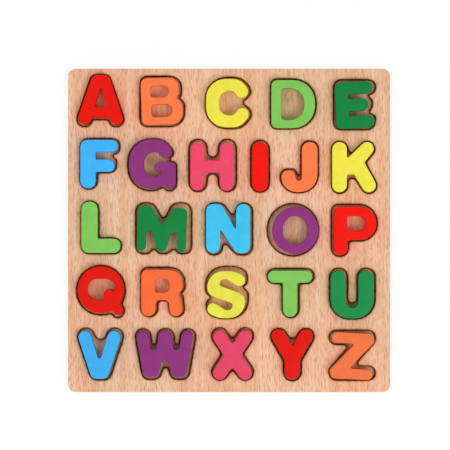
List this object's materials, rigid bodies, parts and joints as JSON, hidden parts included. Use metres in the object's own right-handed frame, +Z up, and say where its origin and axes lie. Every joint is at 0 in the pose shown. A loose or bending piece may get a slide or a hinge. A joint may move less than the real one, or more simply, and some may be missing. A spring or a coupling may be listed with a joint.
{
  "type": "wooden alphabet puzzle",
  "caption": "Square wooden board with a shaped pocket for each letter of the alphabet, and loose painted wooden letters that lie in the pockets and lift out.",
  "frame": {"origin": "centre of the board's underside, on the face that it rests on", "axes": "+Z up through the letters, +X to the right and +Y to the head of the board as the alphabet is read"},
  "size_m": [0.298, 0.2992, 0.015],
  "materials": {
    "beech": "bare beech-faced sheet, fine sanded",
    "paint_red": "satin paint on wood",
    "paint_orange": "satin paint on wood",
    "paint_yellow": "satin paint on wood",
    "paint_lime": "satin paint on wood",
    "paint_green": "satin paint on wood",
    "paint_blue": "satin paint on wood",
    "paint_purple": "satin paint on wood",
    "paint_pink": "satin paint on wood"
  },
  "bodies": {
    "board": {"back_panel": "beech", "top_panel": "beech"},
    "letter_a": {"letter_a": "paint_red"},
    "letter_b": {"letter_b": "paint_orange"},
    "letter_c": {"letter_c": "paint_yellow"},
    "letter_d": {"letter_d": "paint_lime"},
    "letter_e": {"letter_e": "paint_green"},
    "letter_f": {"letter_f": "paint_blue"},
    "letter_g": {"letter_g": "paint_purple"},
    "letter_h": {"letter_h": "paint_pink"},
    "letter_i": {"letter_i": "paint_red"},
    "letter_j": {"letter_j": "paint_orange"},
    "letter_k": {"letter_k": "paint_yellow"},
    "letter_l": {"letter_l": "paint_lime"},
    "letter_m": {"letter_m": "paint_green"},
    "letter_n": {"letter_n": "paint_blue"},
    "letter_o": {"letter_o": "paint_purple"},
    "letter_p": {"letter_p": "paint_red"},
    "letter_q": {"letter_q": "paint_red"},
    "letter_r": {"letter_r": "paint_orange"},
    "letter_s": {"letter_s": "paint_yellow"},
    "letter_t": {"letter_t": "paint_lime"},
    "letter_u": {"letter_u": "paint_green"},
    "letter_v": {"letter_v": "paint_blue"},
    "letter_w": {"letter_w": "paint_purple"},
    "letter_x": {"letter_x": "paint_pink"},
    "letter_y": {"letter_y": "paint_red"},
    "letter_z": {"letter_z": "paint_orange"}
  },
  "joints": [
    {"name": "lift_a", "type": "slide", "parent": "board", "child": "letter_a", "axis": [0, 0, 1], "range_m": [0, 0.03]},
    {"name": "lift_b", "type": "slide", "parent": "board", "child": "letter_b", "axis": [0, 0, 1], "range_m": [0, 0.03]},
    {"name": "lift_c", "type": "slide", "parent": "board", "child": "letter_c", "axis": [0, 0, 1], "range_m": [0, 0.03]},
    {"name": "lift_d", "type": "slide", "parent": "board", "child": "letter_d", "axis": [0, 0, 1], "range_m": [0, 0.03]},
    {"name": "lift_e", "type": "slide", "parent": "board", "child": "letter_e", "axis": [0, 0, 1], "range_m": [0, 0.03]},
    {"name": "lift_f", "type": "slide", "parent": "board", "child": "letter_f", "axis": [0, 0, 1], "range_m": [0, 0.03]},
    {"name": "lift_g", "type": "slide", "parent": "board", "child": "letter_g", "axis": [0, 0, 1], "range_m": [0, 0.03]},
    {"name": "lift_h", "type": "slide", "parent": "board", "child": "letter_h", "axis": [0, 0, 1], "range_m": [0, 0.03]},
    {"name": "lift_i", "type": "slide", "parent": "board", "child": "letter_i", "axis": [0, 0, 1], "range_m": [0, 0.03]},
    {"name": "lift_j", "type": "slide", "parent": "board", "child": "letter_j", "axis": [0, 0, 1], "range_m": [0, 0.03]},
    {"name": "lift_k", "type": "slide", "parent": "board", "child": "letter_k", "axis": [0, 0, 1], "range_m": [0, 0.03]},
    {"name": "lift_l", "type": "slide", "parent": "board", "child": "letter_l", "axis": [0, 0, 1], "range_m": [0, 0.03]},
    {"name": "lift_m", "type": "slide", "parent": "board", "child": "letter_m", "axis": [0, 0, 1], "range_m": [0, 0.03]},
    {"name": "lift_n", "type": "slide", "parent": "board", "child": "letter_n", "axis": [0, 0, 1], "range_m": [0, 0.03]},
    {"name": "lift_o", "type": "slide", "parent": "board", "child": "letter_o", "axis": [0, 0, 1], "range_m": [0, 0.03]},
    {"name": "lift_p", "type": "slide", "parent": "board", "child": "letter_p", "axis": [0, 0, 1], "range_m": [0, 0.03]},
    {"name": "lift_q", "type": "slide", "parent": "board", "child": "letter_q", "axis": [0, 0, 1], "range_m": [0, 0.03]},
    {"name": "lift_r", "type": "slide", "parent": "board", "child": "letter_r", "axis": [0, 0, 1], "range_m": [0, 0.03]},
    {"name": "lift_s", "type": "slide", "parent": "board", "child": "letter_s", "axis": [0, 0, 1], "range_m": [0, 0.03]},
    {"name": "lift_t", "type": "slide", "parent": "board", "child": "letter_t", "axis": [0, 0, 1], "range_m": [0, 0.03]},
    {"name": "lift_u", "type": "slide", "parent": "board", "child": "letter_u", "axis": [0, 0, 1], "range_m": [0, 0.03]},
    {"name": "lift_v", "type": "slide", "parent": "board", "child": "letter_v", "axis": [0, 0, 1], "range_m": [0, 0.03]},
    {"name": "lift_w", "type": "slide", "parent": "board", "child": "letter_w", "axis": [0, 0, 1], "range_m": [0, 0.03]},
    {"name": "lift_x", "type": "slide", "parent": "board", "child": "letter_x", "axis": [0, 0, 1], "range_m": [0, 0.03]},
    {"name": "lift_y", "type": "slide", "parent": "board", "child": "letter_y", "axis": [0, 0, 1], "range_m": [0, 0.03]},
    {"name": "lift_z", "type": "slide", "parent": "board", "child": "letter_z", "axis": [0, 0, 1], "range_m": [0, 0.03]}
  ]
}
